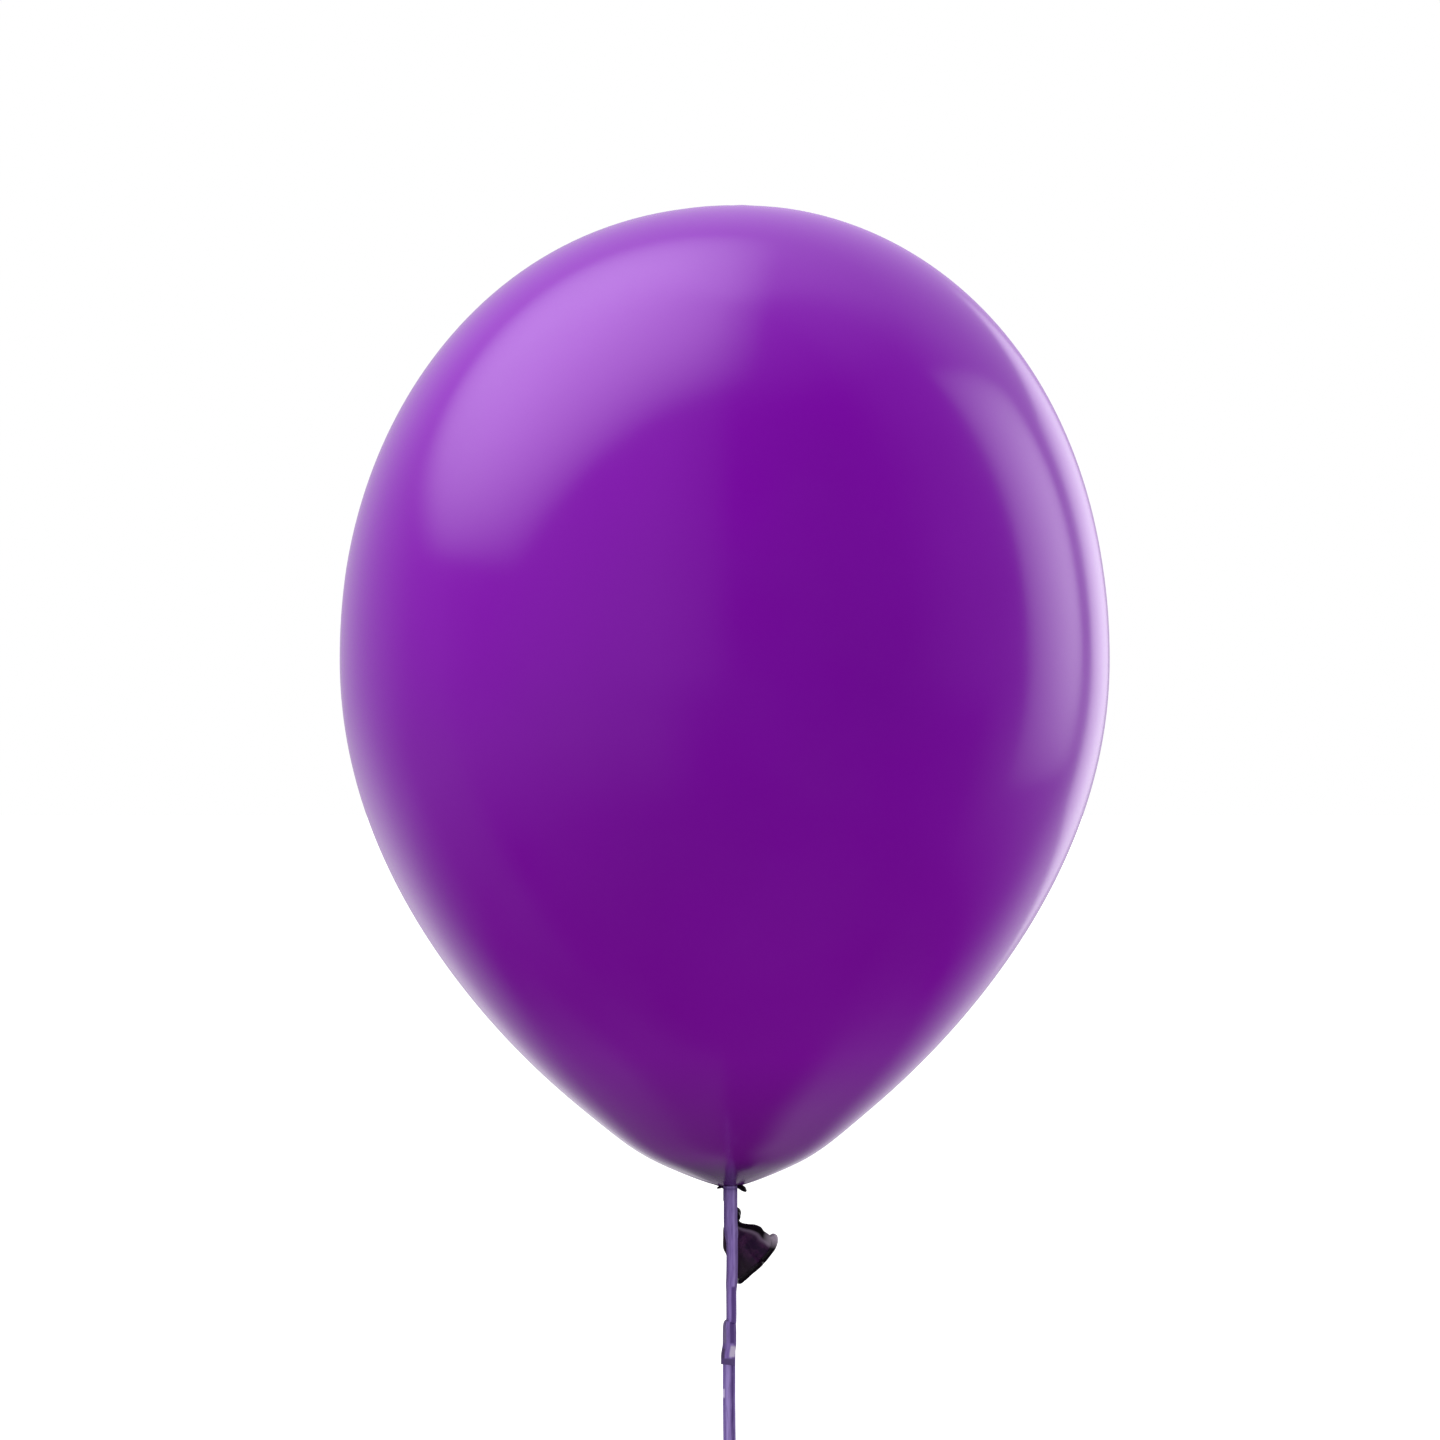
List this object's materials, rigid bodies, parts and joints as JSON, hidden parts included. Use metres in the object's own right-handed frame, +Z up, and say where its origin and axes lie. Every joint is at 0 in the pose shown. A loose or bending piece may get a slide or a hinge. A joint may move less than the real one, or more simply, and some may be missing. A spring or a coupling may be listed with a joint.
{
  "type": "latex balloon",
  "caption": "Floating pear-shaped latex balloon with a knotted neck, a flattened neck tail with a rolled rim, and a flat ribbon ending in a hand loop.",
  "frame": {"origin": "on the balloon's axis, where the ribbon is tied round the neck, directly under the inflated bulb", "axes": "+Z up along the balloon's axis from the neck to the crown, +X the side that the neck tail leans to, -Y the side that the ribbon hangs down"},
  "size_m": [0.28, 0.2798, 0.4905],
  "materials": {
    "latex": "smooth stretched latex, soft gloss, slightly translucent",
    "latex_thick": "unstretched latex, dark and satin",
    "ribbon": "satin polypropylene with fine lengthwise ribs"
  },
  "bodies": {
    "balloon": {"envelope": "latex", "neck_stem": "latex", "ribbon_wrap": "ribbon"},
    "knot": {"neck_knot": "latex_thick"},
    "tail": {"neck_tail": "latex_thick", "mouth_rim": "latex_thick"},
    "hitch": {"ribbon_hitch": "ribbon"},
    "ribbon": {"ribbon": "ribbon", "ribbon_short_end": "ribbon", "loop_knot": "ribbon", "loop_cut_end": "ribbon"},
    "loop": {"hand_loop": "ribbon"}
  },
  "joints": [
    {"name": "neck_bend", "type": "hinge", "parent": "balloon", "child": "knot", "pos_m": [0, 0, -0.0063], "axis": [0, 1, 0], "range_deg": [-30, 30], "stiffness_Nm_per_rad": 0.0005},
    {"name": "tail_flop", "type": "hinge", "parent": "knot", "child": "tail", "pos_m": [0, 0, -0.0104], "axis": [0, 1, 0], "range_deg": [-35, 75], "stiffness_Nm_per_rad": 0.0003},
    {"name": "ribbon_sway", "type": "hinge", "parent": "balloon", "child": "hitch", "pos_m": [0, -0.0039, -0.0032], "axis": [0, 1, 0], "range_deg": [-80, 80]},
    {"name": "ribbon_lift", "type": "hinge", "parent": "hitch", "child": "ribbon", "pos_m": [0.0003, -0.0051, -0.0016], "axis": [-1, 0, 0], "range_deg": [0, 100]},
    {"name": "loop_swing", "type": "hinge", "parent": "ribbon", "child": "loop", "pos_m": [0, -0.0051, -0.1045], "axis": [1, 0, 0], "range_deg": [-90, 90]}
  ]
}
